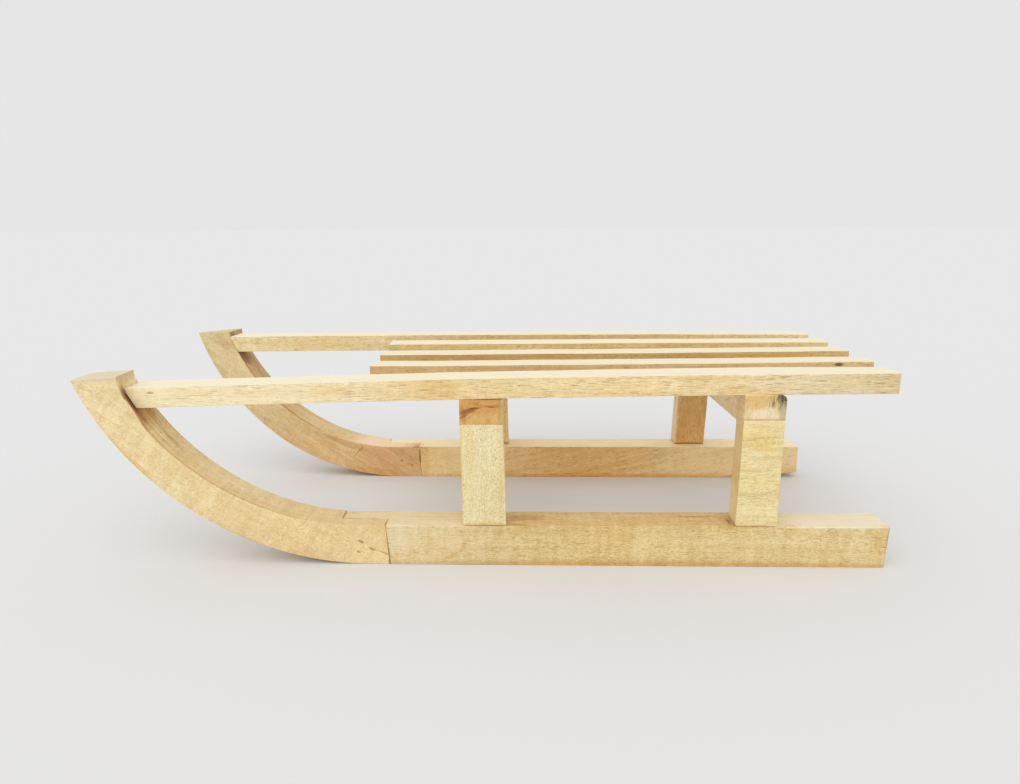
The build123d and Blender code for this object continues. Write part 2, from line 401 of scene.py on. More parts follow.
hornSettings = {
    "flare": 15.5 * mm,
    "thinning": 3.0 * mm,
    "flareStart": 300.0 * mm,
    "waver": 0.35 * mm,
    "waverReach": 0.3,           # metres of planing from the tip to the lap
    # the near horn's hollow is dished: its near edge stands up to so much proud by the rail's end
    "proud": {"left": 5.5 * mm, "right": 0.0},
    "proudFrom": 236.0 * mm,
    "proudTo": 329.0 * mm,
    "proudSkew": 1.6,            # above 1, the highest place is nearer to the end
    "proudWidth": 0.3,           # of the runner's width
    "proudFade": 1.5,
    "curlLines": 67,             # of the grid, from the tip to the lap's front
    "lapLines": 9,
    "acrossStops": (0, 0.3, 0.5, 1),
    "acrossStep": 0.1,
    "upStep": 0.125,
}


def curl(distance, radius, startX, startZ):
    # from a point on the flat: straight back by a negative distance, or forwards up an arc by the rest
    angle = np.maximum(distance, 0) / radius
    x = startX - radius * np.sin(angle) - np.minimum(distance, 0)
    return x, startZ + radius * (1 - np.cos(angle))


def hollowOf(side, y):
    # the hollow's arc at any Y, drawn out evenly between its measures at the runner's two faces
    low, high = sideSpan(side["sign"])
    share = (y - low) / (high - low)
    ends = [side[measure] for measure in ("back", "radius", "lip")]
    back, radius, lip = (first + (last - first) * share for first, last in ends)
    return fromTip(back), radius, lip


def outward(x, sign, u):
    # the horn's outline from above: both faces bow outwards as the square of the way past the flare's
    # start, and the one with the higher Y by the thinning less
    s = hornSettings
    low, high = sideSpan(sign)
    share = np.clip((fromTip(s["flareStart"]) - x) / s["flareStart"], 0, 1) ** 2
    lowFace = low + sign * s["flare"] * share
    highFace = high + (sign * s["flare"] - s["thinning"]) * share
    return lowFace + (highFace - lowFace) * u


def proudEdge(sign, along, u):
    # a skewed squared sine along the hollow's upper end, which fades from the face with the lower Y as
    # a power of the distance
    s = hornSettings
    share = np.clip((along - s["proudFrom"]) / (s["proudTo"] - s["proudFrom"]), 0, 1) ** s["proudSkew"]
    fade = np.clip(1 - u / s["proudWidth"], 0, 1) ** s["proudFade"]
    return s["proud"]["left" if sign < 0 else "right"] * np.sin(math.pi * share) ** 2 * fade


def run(t, tip, front, back):
    # evenly from the tip's distance (t = 0) to the lap's front (1), and on to its back (2)
    return np.where(t < 1, tip + (front - tip) * t, front + (back - front) * (t - 1))


def hornShape(side, t, u, v):
    # t runs from the tip (0) to the lap's front (1) and its back (2), u across, v from sole to hollow:
    # a point on the sole's arc and one on the hollow's, and a straight mix of the two by v
    sign = side["sign"]
    joint = barTop(fromTip(sled["lapBack"]))
    seams = [fromTip(lap) - sled["play"] for lap in (side["lapFront"], sled["lapBack"])]
    lean = sled["lapLean"] / 2

    sole = side["soleRadius"]
    flatStart = sled["tip"] + math.sqrt(sole ** 2 - (sole - side["tipHeight"]) ** 2)
    soleTip = sole * np.arccos(1 - (side["tipHeight"] - side["tipDrop"] * u) / sole)
    soleFront = sole * math.asin((flatStart - seams[0] - lean) / sole)
    soleX, soleZ = curl(run(t, soleTip, soleFront, flatStart - seams[1] - lean), sole, flatStart, 0.0)

    x = soleX
    for _ in range(timberSettings["rounds"]):
        y = outward(x, sign, u)
        centreX, radius, lip = hollowOf(side, y)
        top = radius * np.arccos((joint + radius - side["heelHeight"] + lip) / radius)
        front = radius * np.arcsin((centreX - seams[0] + lean) / radius)
        back = centreX - seams[1] + lean
        distance = run(t, top + lip, front, back)
        hollowX, hollowZ = curl(np.minimum(distance, top), radius, centreX, joint)
        hollowZ = hollowZ + np.maximum(distance - top, 0)
        hollowX = hollowX + proudEdge(sign, distance, u)
        x = soleX + (hollowX - soleX) * v
    z = soleZ + (hollowZ - soleZ) * v
    return x, y, z, distance


def makeHorn(name, side, seed):
    # a block with a along the horn, b across and c up, less the half of the lap that is the bar's.
    # Its faces lie inside the horn's shape by a share of its width that wanders and fades inwards
    s = hornSettings
    wave = s["waver"] / sled["runnerWidth"]
    along = [np.linspace(0, 1, s["curlLines"]), np.linspace(1, 2, s["lapLines"])]
    across = gridLines(s["acrossStops"], s["acrossStep"])
    lines = [np.unique(np.concatenate(along)), across, gridLines([0, 1], s["upStep"])]

    def shape(a, b, c):
        sides = [wave * wander(a * s["waverReach"], seed + k) for k in range(3)]
        u = b + (1 - b) * sides[0] * (b < 0.5) - b * sides[1] * (b > 0.5)
        v = c - c * sides[2]
        x, y, z, distance = hornShape(side, a, u, v)
        return (x, y, z), (distance, (b - 0.5) * sled["runnerWidth"], c * sled["barJoint"])

    makeTimber("runner_horn_" + name, "horn_wood", lines, shape,
               lambda a, b, c: (a > 1) & (b > 0.5), seed)


barTable = {
    # how far back from the tips it ends, how far its rear end's foot is behind its top, and how high
    # its sole rises there
    "left": {"length": 883.8 * mm, "endLean": -1.8 * mm, "rise": 0.0},
    "right": {"length": 893.3 * mm, "endLean": 0.5 * mm, "rise": 8.5 * mm},
}

barSettings = {
    "riseReach": 145.0 * mm,     # how long the sole's rise is
    "risePower": 2.3,
    "waver": 0.3 * mm,
    "spacing": 8.0 * mm,
    "acrossStep": 0.125,
    "upStep": 0.125,
}


def makeBar(name, side, seed):
    # a straight bar: a in metres back from the lap's front, its tongue on the side with the higher Y.
    # Its ends lean by an even mix, and its sole rises as a power of the way to the rear end
    s = barSettings
    bar = barTable[name]
    low, high = sideSpan(side["sign"])
    front = fromTip(side["lapFront"]) + sled["play"]
    lap = sled["lapBack"] - side["lapFront"]
    reach = fromTip(bar["length"]) - front
    lines = [gridLines([0, lap, reach], s["spacing"]), gridLines([0, 0.5, 1], s["acrossStep"]),
             gridLines([0, 1], s["upStep"])]

    def shape(a, b, c):
        back = np.clip((a - lap) / (reach - lap), 0, 1)
        x = front + a + (0.5 - c) * (sled["lapLean"] * (1 - back) + bar["endLean"] * back)
        shrink = [s["waver"] * wander(a, seed + k) for k in range(3)]
        y = low + (high - low) * b + planed(b, shrink[0], shrink[1])
        rise = bar["rise"] * np.clip((a - reach) / s["riseReach"] + 1, 0, 1) ** s["risePower"]
        z = rise + (barTop(x) - rise) * c + planed(c, 0, shrink[2])
        return (x, y, z), (a, (b - 0.5) * (high - low), c * sled["barJoint"])

    makeTimber("runner_bar_" + name, "bar_wood", lines, shape,
               lambda a, b, c: (a < lap) & (b < 0.5), seed)


# posts and crossbars

crossbarTable = {
    # how far back its front face is, its width, its top's height at the left and at the right side, and
    # the radius of its worn rear upper edge
    "front": {
        "front": 411.8 * mm, "width": 47.2 * mm, "seats": (193.3 * mm, 194.6 * mm), "worn": 0.6 * mm},
    "rear": {
        "front": 716.0 * mm, "width": 44.0 * mm, "seats": (198.2 * mm, 194.5 * mm), "worn": 6.0 * mm},
}

postTable = [
    # crossbar, side, how far the post's foot stands behind its head, and how much wider it is
    ("front", "left", 1.7 * mm, 1.6 * mm),
    ("front", "right", 3.0 * mm, 0.0),
    ("rear", "left", -0.7 * mm, 2.2 * mm),
    ("rear", "right", -3.3 * mm, 0.0),
]

standSettings = {
    "postDepth": 26.8 * mm,      # across the sled
    "endHeight": 27.6 * mm,      # of a crossbar over its posts
    "shoulder": 6.5 * mm,        # how much deeper it is between them
    "deckPlay": 0.05 * mm,       # left open under the deck
    "waver": 0.3 * mm,
    "waverReach": 0.15,          # metres of planing from a post's foot to its head
    "spacing": 6.0 * mm,
    "upStep": 0.05,              # a post's cells, as shares of its height, width and depth
    "backStep": 0.125,
    "acrossStep": 0.2,
    "cornerLines": 5,            # round a crossbar's worn edge
    "tiny": 1e-9,                # keeps a division from 0
}


def seatHeight(crossbar, y):
    # straight from the height over the left side to the one over the right side
    share = (y + sled["halfTrack"]) / (2 * sled["halfTrack"])
    return crossbar["seats"][0] + (crossbar["seats"][1] - crossbar["seats"][0]) * share


def makePost(place, side, foot, spread, seed):
    # a from the bar's top (0) to the crossbar (1), b back and c across: a straight mix of foot and head
    s = standSettings
    crossbar = crossbarTable[place]
    low, high = sideSpan(hornTable[side]["sign"])
    low, high = (low, low + s["postDepth"]) if side == "left" else (high - s["postDepth"], high)
    headX = fromTip(crossbar["front"])
    wide = crossbar["width"]

    def shape(a, b, c):
        shrink = [s["waver"] * wander(a * s["waverReach"], seed + k) for k in range(4)]
        y = low + (high - low) * c + planed(c, shrink[0], shrink[1])
        x = headX + wide * b + (foot + spread * b) * (1 - a) + planed(b, shrink[2], shrink[3])
        footZ = barTop(x)
        z = footZ + (seatHeight(crossbar, y) - s["endHeight"] - footZ) * a
        return (x, y, z), (z, (b - 0.5) * wide, (c - 0.5) * s["postDepth"])

    lines = [gridLines([0, 1], s[step]) for step in ("upStep", "backStep", "acrossStep")]
    makeTimber(f"post_{place}_{side}", "post_wood", lines, shape, None, seed)


def roundCorner(across, up, worn):
    # turns the square between the corner at 0, 0 and a circle's centre at worn, worn into a quarter of
    # that circle: a point keeps its direction from the centre, and its larger step becomes its distance
    dx = np.clip((worn - across) / worn, 0, 1)
    dz = np.clip((worn - up) / worn, 0, 1)
    inside = (dx > 0) & (dz > 0)
    scale = np.maximum(dx, dz) / np.maximum(np.hypot(dx, dz), standSettings["tiny"])
    pulled = [worn * (1 - step * scale) for step in (dx, dz)]
    return np.where(inside, pulled[0], across), np.where(inside, pulled[1], up)


def makeCrossbar(place, seed):
    # a block with a along Y, b up from its lowest face and c back, less the shoulders over the posts.
    # It hangs under the seats' line, and its rear upper edge is rounded
    s = standSettings
    crossbar = crossbarTable[place]
    half = sled["halfTrack"]
    neck = s["postDepth"] + sled["play"]
    deep = s["endHeight"] + s["shoulder"]
    wide = crossbar["width"]
    worn = crossbar["worn"]
    frontX = fromTip(crossbar["front"])
    curve = worn * (1 - np.tan(np.linspace(math.pi / 4, 0, s["cornerLines"])))
    lines = [gridLines([0, neck, 2 * half - neck, 2 * half], s["spacing"]),
             merged([gridLines([0, s["shoulder"], deep - worn], s["spacing"]), deep - curve]),
             merged([gridLines([0, wide - worn], s["spacing"]), wide - curve])]

    def shape(a, b, c):
        shrink = [s["waver"] * wander(a, seed + k) for k in range(3)]
        across, down = roundCorner(wide - c, deep - b, worn)
        y = a - half
        z = seatHeight(crossbar, y) - down - s["deckPlay"]
        x = frontX + wide - across + shrink[0] * (c < wide / 2) - shrink[1] * (c > wide / 2)
        return (x, y, z), (a, b - deep / 2, c - wide / 2)

    def missing(a, b, c):
        return (b < s["shoulder"]) & ((a < neck) | (a > 2 * half - neck))

    makeTimber("crossbar_" + place, "crossbar_wood", lines, shape, missing, seed)


# deck strips: bowed over the two crossbars, the rails' front ends scribed to the horns' hollows

stripTable = [
    # node, height, front end's droop under the straight line over the crossbars, the horn it meets and
    # the seam left open there, how much thinner it is at the rear end, and how much higher its top edge
    # at the higher Y is than the other
    ("rail_left", 22.7 * mm, 4.7 * mm, "left", 0.25 * mm, 0.0, 0.9 * mm),
    ("slat_left", 21.4 * mm, -0.8 * mm, None, 0.0, 2.1 * mm, 0.0),
    ("slat_middle", 22.0 * mm, -0.4 * mm, None, 0.0, 0.5 * mm, 0.0),
    ("slat_right", 23.7 * mm, 0.0, None, 0.0, 0.9 * mm, 0.4 * mm),
    ("rail_right", 22.7 * mm, 1.9 * mm, "right", 1.6 * mm, 0.5 * mm, 0.0),
]

stripSettings = {
    "railFront": 47.0 * mm,      # back from the tips, before the rail is scribed to its horn
    "highest": 221.6 * mm,       # no strip stands higher, so all stay in the sled's box
    "waver": 0.45 * mm,
    "spacing": 7.0 * mm,
    "acrossStep": 0.2,
    "upStep": 0.25,
}


def makeStrip(node, height, droop, horn, seam, thinner, tilt, seed):
    # a along the strip, b across and c up, each from 0 to 1. Its underside is the line over the seats
    # less the droop times a parabola that is 0 at both seats and 1 at the front end. A rail's front end
    # lies on its horn's hollow arc, and the strip thins as the square of the way behind the front seat
    s = stripSettings
    low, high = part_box(node)
    middle = (low.y + high.y) / 2
    seatX = [fromTip(bar["front"] + bar["width"] / 2) for bar in crossbarTable.values()]
    seatZ = [seatHeight(bar, middle) for bar in crossbarTable.values()]
    slope = (seatZ[1] - seatZ[0]) / (seatX[1] - seatX[0])
    frontX = fromTip(s["railFront"]) if horn else low.x
    reach = high.x - frontX

    def under(x):
        bow = (x - seatX[0]) * (x - seatX[1]) / ((frontX - seatX[0]) * (frontX - seatX[1]))
        return seatZ[0] + slope * (x - seatX[0]) - droop * bow

    def shape(a, b, c):
        shrink = [s["waver"] * wander(a * reach, seed + k) for k in range(3)]
        y = low.y + (high.y - low.y) * b + planed(b, shrink[0], shrink[1])
        x = frontX + reach * a
        if horn:
            side = hornTable[horn]
            centreX, radius, lip = hollowOf(side, y)
            joint = barTop(fromTip(sled["lapBack"]))
            for _ in range(timberSettings["rounds"]):
                z = np.minimum(under(x) + height * c, side["heelHeight"] - lip)
                scribed = centreX - np.sqrt(radius ** 2 - (joint + radius - z) ** 2) + seam
                x = scribed + (high.x - scribed) * a
        rear = np.clip((x - seatX[0]) / (high.x - seatX[0]), 0, 1)
        z = under(x) + (height - thinner * rear ** 2 + tilt * b + planed(c, 0, shrink[2])) * c
        timberPlace = (a * reach, (b - 0.5) * (high.y - low.y), (c - 0.5) * height)
        return (x, y, np.minimum(z, s["highest"])), timberPlace

    lines = [gridLines([0, 1], step) for step in (s["spacing"] / reach, s["acrossStep"], s["upStep"])]
    makeTimber(node, "deck_wood", lines, shape, None, seed)


# wood

plainWood = {
    "turn": (0.0, 0.0, 0.0),         # degrees about X, Y and Z that lay the grain along the pattern's X
    "origin": (0.0, 0.0, 0.0),       # metres: which stretch of the log the piece was cut from
    "heart": (0.21, -0.16),          # metres from the log's heart, across the grain
    "pale": (240, 219, 172),
    "deep": (206, 172, 112),
    "pore": (168, 128, 78),
    # how much each figure adds between pale and deep, and its size
    "layers": 0.5, "layerGap": 5.0 * mm,
    "streaks": 0.6, "streakLength": 200.0 * mm, "streakWidth": 6.0 * mm,
    "mottle": 0.7, "mottleSize": 9.0 * mm,
    "ribbon": 0.3, "ribbonGap": 12.0 * mm, "ribbonLength": 6,    # ribbons run across, so many gaps long
    "tone": 0.9,
    "fibres": 0.9, "fibreLength": 25.0 * mm, "fibreWidth": 1.1 * mm,
    "specks": 1.3, "speckLength": 2.6 * mm, "speckWidth": 1.2 * mm,
    "pores": 0.6, "poreLength": 8.0 * mm, "poreWidth": 0.75 * mm, "poreShare": 0.6,
    # patches of other hues, tints that multiply the colour under them
    "warm": 0.5, "warmTint": (0.97, 0.84, 0.62),
    "cool": 0.3, "coolTint": (0.95, 0.99, 0.86),
    "endTint": (0.9, 0.82, 0.7),
    # painted sheen: up-facing faces are mixed towards this paler colour, as light reflected at a low
    # angle
    "topSheen": 0.0, "sheenColour": (238, 228, 200),
    "roughness": 0.56,
    "marks": [],
}

# what all the woods share: noise scales are one over metres, along the grain and then twice across it
grainSettings = {
    "drift": (3.5, 16.0, 16.0), "driftReach": (0.0, 0.009, 0.009),      # off the straight, in metres
    "tone": (6.0, 11.0, 11.0),
    "hue": (8.0, 24.0, 24.0), "warmHues": (0.5, 0.68), "coolHues": (0.5, 0.32),
    "crowd": (30.0, 90.0, 90.0), "crowding": 0.16, "poreRim": 0.09,
    "endFaces": (0.7, 0.95),                                   # how far a face looks along the grain
    # how far a face must look up to take the painted sheen, and how much streaks and specks break it up
    "sheenFaces": (0.3, 0.8), "sheenStreaks": 0.5, "sheenSpecks": 0.4,
    "roughFibres": 0.14, "roughPores": 0.12,
    "bumpFibres": 0.35, "bumpMottle": 0.25, "bumpStrength": 0.35, "bumpDepth": 0.2 * mm,
}

plainMark = {
    "turn": 0.0,                     # degrees about Y
    "share": 0.8,                    # how much of it shows
    "soft": 0.4, "ragged": 0.8,      # its rim, as shares of its size
    "onTimber": False,               # its place is along, across and up the timber, not in the sled
    "lines": None,                   # sizes in millimetres of the noise that breaks it up
    "lineShare": (0.45, 0.6),        # where that noise starts to show it, and where it is whole
}


def tint(at, size, colour, **choices):
    # a spot that multiplies the wood's colour, with its place and half its size in millimetres
    return {**plainMark, **choices, "at": at, "size": size, "tint": colour}


def paint(at, size, colour, **choices):
    # a spot that covers the wood with a screen colour
    return {**plainMark, **choices, "at": at, "size": size, "paint": colour}


# turns that lay the pattern along a piece
degrees = {"upright": (0, 90, 0), "across": (0, 0, -90), "curl": (0, -33, 0)}

woods = {
    "runner_horn_left": {
        "turn": degrees["curl"], "origin": (1.3, 0.2, 0.5),
        "pale": (248, 231, 183), "deep": (214, 184, 124), "pore": (180, 144, 92),
        "layers": 0.3, "streaks": 0.35, "fibres": 0.4, "specks": 1.0, "speckWidth": 1.7 * mm,
        "ribbon": 0.9, "ribbonGap": 8 * mm, "cool": 0.5, "pores": 0.35, "poreLength": 3.5 * mm,
        "marks": [
            # darker towards the joint and along the sole's edge
            tint((-205, -165, 30), (120, 60, 50), (0.945, 0.875, 0.82), share=1),
            tint((-414, -177, 150), (30, 60, 4), (0.95, 0.84, 0.6), turn=57),
            tint((-391, -175, 121), (24, 60, 4), (0.95, 0.84, 0.6), turn=50),
            tint((-279, -168, 29), (26, 60, 4), (0.93, 0.78, 0.54), turn=25),
            tint((-122, -165, 22), (2, 60, 17), (0.98, 0.9, 0.8), ragged=1.6),
            # the lap's seams on top
            tint((-120.6, -158, 47.8), (1.8, 12, 1.4), (0.4, 0.28, 0.17), ragged=0.6),
            tint((-163, -145.2, 48), (11, 1.6, 2), (0.62, 0.48, 0.33)),
            tint((-137, -145, 47.8), (4, 2, 2), (0.62, 0.5, 0.36)),
            tint((-173.4, -134, 48), (1.6, 12, 2), (0.74, 0.62, 0.54)),
            # the end's whitish grain
            paint((-418, -160, 221), (48, 60, 5), (214, 198, 173), share=0.75),
            # three bruises, a crack and a dimple
            tint((-149.7, -165, 27.9), (3.8, 9, 1.5), (0.45, 0.33, 0.2), turn=28),
            tint((-137.6, -165, 19), (3.8, 9, 1.5), (0.5, 0.38, 0.25), turn=28),
            tint((-152.9, -165, 15.4), (2.4, 9, 1.2), (0.55, 0.43, 0.28), turn=20),
            tint((-123.5, -165, 14), (10, 9, 0.7), (0.6, 0.45, 0.3), turn=24),
            tint((-117.7, -165, 4.1), (2.4, 9, 2.2), (0.62, 0.46, 0.3)),
            # the hollow: pinkish, with saw lines and a thin dark near edge; browner and dark under the
            # rail's end, which is painted shadow
            tint((60, 0, 47.8), (160, 60, 1.2), (0.93, 0.93, 0.98), onTimber=True),
            # painted shadow under the rail
            tint((281, -8, 47.8), (20, 20, 1.2), (0.86, 0.66, 0.46), onTimber=True),
            tint((345, 0, 47.8), (26, 30, 1.2), (0.93, 0.8, 0.68), onTimber=True),
            # painted shadow in the slot at the rail's end
            tint((290, -11, 47.8), (20, 7, 1.2), (0.5, 0.34, 0.22), onTimber=True),
            tint((303, -13, 47.8), (17, 8, 1.2), (0.55, 0.4, 0.25), onTimber=True),
            tint((299, -10, 47.8), (16, 2.6, 1.2), (0.4, 0.28, 0.16), onTimber=True),
            tint((180, -20.5, 47.8), (125, 1.0, 1.2), (0.66, 0.48, 0.3), onTimber=True),
            tint((262, -2, 47.8), (44, 24, 1.2), (0.62, 0.46, 0.3), lines=(70, 1.4, 60),
                 onTimber=True),
            tint((130, -14, 47.8), (110, 7, 1.2), (0.95, 0.88, 0.8), onTimber=True),
        ]},
    "runner_horn_right": {
        "turn": degrees["curl"], "origin": (2.1, 0.7, 0.1),
        "pale": (238, 217, 171), "deep": (200, 168, 112), "pore": (158, 114, 72),
        "specks": 1.1, "warm": 0.45, "warmTint": (0.98, 0.8, 0.6), "poreLength": 4 * mm, "pores": 0.35,
        "streaks": 1.0, "streakLength": 80 * mm, "streakWidth": 5 * mm,
        "marks": [
            # a knot and its specks, the joint's dark seams and a crack
            tint((-147.8, 123, 25.8), (2.2, 9, 2.0), (0.6, 0.43, 0.32)),
            tint((-134.5, 123, 32.2), (1.4, 9, 1.2), (0.66, 0.5, 0.36)),
            tint((-132.9, 123, 18.8), (2.2, 9, 1.1), (0.66, 0.5, 0.36)),
            tint((-123, 123, 46.8), (8, 9, 1.4), (0.62, 0.48, 0.28)),
            tint((-120.3, 123, 34), (1.1, 9, 13), (0.4, 0.26, 0.13), ragged=0.5),
            tint((-212.4, 124, 41), (12, 9, 0.8), (0.6, 0.46, 0.34), turn=-45),
            # the inner face: darker streaks, redder towards the joint, and a greyer tip
            tint((-234, 124, 53), (34, 30, 4.5), (0.82, 0.66, 0.5), turn=22),
            tint((-182, 123, 7), (48, 40, 6), (0.92, 0.76, 0.5), turn=6),
            tint((-160, 123, 28), (60, 40, 24), (0.99, 0.84, 0.74)),
            tint((-200, 123, 30), (150, 24, 70), (1.0, 0.93, 0.87), share=1),
            tint((-425, 128, 195), (40, 60, 50), (0.9, 0.91, 0.87)),
            tint((-404, 128, 205), (16, 9, 12), (0.96, 0.86, 0.84)),
            # the hollow: a dark near edge, brown and dark under the rail as painted shadow, pale at the
            # joint, and saw lines
            tint((215, -20.5, 47.8), (110, 3, 1.2), (0.6, 0.42, 0.28), onTimber=True),
            tint((240, 0, 47.8), (80, 60, 1.2), (0.88, 0.77, 0.62), onTimber=True),
            paint((20, 0, 47.8), (45, 60, 1.2), (248, 220, 186), share=0.8, onTimber=True),
            # painted shadow under the rail's end
            tint((300, -12, 47.8), (24, 10, 1.2), (0.55, 0.4, 0.28), onTimber=True),
            tint((279, -9, 47.8), (14, 14, 1.2), (0.5, 0.38, 0.26), onTimber=True),
            tint((330, 0, 47.8), (20, 40, 1.2), (0.7, 0.64, 0.6), onTimber=True),
            tint((240, 8, 47.8), (60, 18, 1.2), (0.7, 0.56, 0.42), lines=(70, 1.6, 60), onTimber=True),
        ]},
    "runner_bar_left": {
        "origin": (0.4, 1.1, 0.6), "pale": (238, 218, 166), "deep": (203, 172, 109),
        "layers": 0.35, "streaks": 0.45, "specks": 1.6, "fibres": 1.1, "fibreLength": 16 * mm,
        "ribbon": 0.9, "ribbonGap": 9 * mm, "poreLength": 6 * mm, "mottle": 0.5,
        "marks": [
            # the outer face: darker along the sole, paler by the joint's seam, with two slanting streaks
            tint((190, -165, 1), (340, 60, 5), (0.9, 0.72, 0.48), soft=0.6, ragged=1.6),
            paint((-75, -165, 27), (75, 60, 40), (232, 220, 184), share=0.2, soft=0.7),
            tint((150, -165, 25), (120, 60, 40), (0.98, 0.96, 0.88), soft=0.6),
            tint((-118.6, -165, 15), (1.2, 60, 19), (0.42, 0.28, 0.16), turn=-3.8, ragged=0.3),
            tint((-33.6, -165, 23), (9, 60, 2.4), (0.9, 0.79, 0.62), turn=-65, soft=0.7),
            tint((-48, -165, 10.5), (12, 60, 2.8), (0.9, 0.79, 0.62), turn=-34, soft=0.7),
            # the top: painted shadow at the posts' feet, darker behind the front post from grain and
            # painted shade, whitish in places as a painted sheen, and saw lines
            tint((-10, -165, 48.2), (24, 5, 1.1), (0.42, 0.28, 0.16), ragged=0.3),
            paint((-90, -144, 48), (105, 40, 2), (242, 228, 190), share=0.6),
            tint((0, -144, 48.4), (900, 60, 1.5), (0.9, 0.84, 0.74), lines=(40, 2.6, 60)),
            tint((28, -150, 48), (26, 26, 2), (0.74, 0.56, 0.4), soft=0.7, ragged=1.4,
                 lines=(70, 9, 60)),
            # painted shadow at the rear post's foot
            tint((270, -140, 48), (36, 40, 2), (0.94, 0.88, 0.82)),
            tint((264.6, -151, 48.4), (1.8, 8, 1.6), (0.5, 0.34, 0.18)),
            tint((227, -137, 48.4), (17, 1.6, 1.4), (0.62, 0.46, 0.3)),
            # painted sheen, whitish at the rear
            paint((387, -144, 49), (80, 40, 2.4), (240, 230, 206), share=0.8),
            paint((-104, -165, 32), (15, 60, 15), (230, 224, 192), share=0.4, soft=0.7),
            # the rear end: faint saw lines, a short crack and a dark edge
            tint((430, -165, 25), (12, 9, 44), (0.86, 0.86, 0.78), share=0.5, lines=(2.0, 90, 90)),
            tint((434, -165, 24.7), (5, 9, 0.7), (0.5, 0.42, 0.25)),
            tint((436.6, -165, 38), (1.6, 9, 12), (0.7, 0.68, 0.5)),
        ]},
    "runner_bar_right": {
        "turn": (0, 12, 0), "origin": (3.4, 0.1, 0.9), "pale": (253, 232, 182), "deep": (227, 192, 132),
        "ribbon": 0.6, "streaks": 1.3, "streakLength": 90 * mm,
        # a painted sheen on its top
        "topSheen": 0.72, "sheenColour": (253, 239, 202),
        "marks": [
            # the joint's dark seams, darker behind the front post from grain and painted shade, a redder
            # middle between ends lightened with painted light, a pale chip and a darker sole
            tint((20, 140, 48), (18, 26, 2), (0.6, 0.45, 0.3), lines=(60, 3, 60)),
            tint((-112, 123, 30), (6, 40, 30), (0.82, 0.64, 0.5), ragged=1.6),
            tint((-119.2, 123, 33), (1.1, 9, 14), (0.3, 0.18, 0.08), ragged=0.4),
            tint((-95, 140, 48), (45, 40, 3), (0.93, 0.88, 0.86)),
            tint((-118, 136, 47.6), (4, 14, 1.8), (0.58, 0.46, 0.32)),
            tint((415, 123, 8), (45, 40, 7), (0.9, 0.76, 0.58), turn=-9, ragged=1.4),
            tint((-118, 127, 47.5), (3, 7, 2), (0.5, 0.38, 0.25)),
            tint((130, 123, 30), (115, 200, 200), (0.95, 0.79, 0.61), share=1, soft=0.5),
            # painted light on the face's two ends
            paint((318, 123, 30), (70, 200, 40), (255, 226, 168), share=0.35, soft=0.6),
            paint((-60, 123, 30), (75, 200, 40), (255, 224, 156), share=0.4, soft=0.6),
            paint((-96.5, 123, 3.9), (0.9, 5, 4), (246, 232, 190), turn=12, ragged=0),
            tint((190, 123, 1), (340, 40, 4), (0.92, 0.72, 0.48), ragged=1.6),
        ]},
    "post_front_left": {
        "turn": degrees["upright"], "origin": (0.2, 0.4, 0.9),
        "pale": (248, 237, 194), "deep": (216, 193, 136), "pore": (150, 126, 74),
        "layers": 0.2, "streaks": 0.25, "mottle": 0.5, "fibres": 0.7, "fibreLength": 6 * mm,
        "specks": 1.9, "speckLength": 2.2 * mm, "cool": 0.6,
        "pores": 0.45, "poreLength": 2.8 * mm, "poreWidth": 0.6 * mm, "poreShare": 0.59,
        "marks": [
            # a golden front edge, a rear face lightened with painted light, and a foot darkened with
            # painted shadow
            tint((-34.6, -165, 110), (2, 60, 80), (0.95, 0.84, 0.6), ragged=1.4),
            paint((13, -150, 110), (2.5, 16, 80), (250, 234, 190), share=0.5),
            tint((-10, -165, 48), (30, 60, 4), (0.94, 0.8, 0.56)),
            tint((-10, -165, 47.8), (30, 40, 1.2), (0.6, 0.45, 0.28)),
        ]},
    "post_front_right": {
        "turn": degrees["upright"], "origin": (1.2, 0.5, 0.9),
        "pale": (250, 232, 172), "deep": (224, 184, 116),
        # painted shadow at its foot
        "marks": [tint((-10, 138, 48), (30, 40, 4), (0.5, 0.36, 0.22))]},
    "post_rear_left": {
        "turn": (0, 4, 0), "origin": (1.9, 0.3, 0.2), "pale": (247, 234, 183), "deep": (213, 186, 122),
        "layers": 0.4, "fibres": 1.0, "fibreLength": 18 * mm, "pores": 0.35,
        "streaks": 1.1, "streakLength": 60 * mm, "streakWidth": 5 * mm,
        "marks": [
            # golden patches, a foot darkened with painted shadow, and a front face lightened with
            # painted light, less so higher up
            tint((287, -165, 153), (20, 60, 13), (0.96, 0.82, 0.52), share=0.55, soft=0.7, ragged=2.2),
            tint((290, -165, 141), (16, 60, 5), (0.96, 0.8, 0.5), turn=12, share=0.45, soft=0.8,
                 ragged=1.6),
            tint((288, -150, 48.8), (30, 40, 1.2), (0.6, 0.45, 0.28)),
            tint((267, -150, 50), (3, 16, 3), (0.62, 0.46, 0.32), ragged=1.6),
            paint((267, -150, 70), (2.5, 16, 30), (250, 226, 176), share=0.5),
            paint((267, -150, 120), (2.5, 16, 40), (236, 206, 150), share=0.4),
        ]},
    "post_rear_right": {
        "turn": degrees["upright"], "origin": (2.2, 0.8, 0.3),
        "pale": (246, 208, 142), "deep": (212, 162, 94),
        "marks": [
            # painted light on its front face, and painted shadow at its foot
            paint((265, 137, 110), (3, 40, 80), (244, 222, 184), share=0.7),
            tint((288, 138, 48.6), (30, 40, 2), (0.45, 0.34, 0.22)),
        ]},
    "crossbar_front": {
        "turn": degrees["across"], "origin": (0.7, 0.6, 0.4),
        "pale": (240, 208, 142), "deep": (204, 162, 90),
        "marks": [
            # the near end: darker, with a knot and short cracks
            tint((-14, -165, 186), (26, 14, 8), (0.93, 0.76, 0.5)),
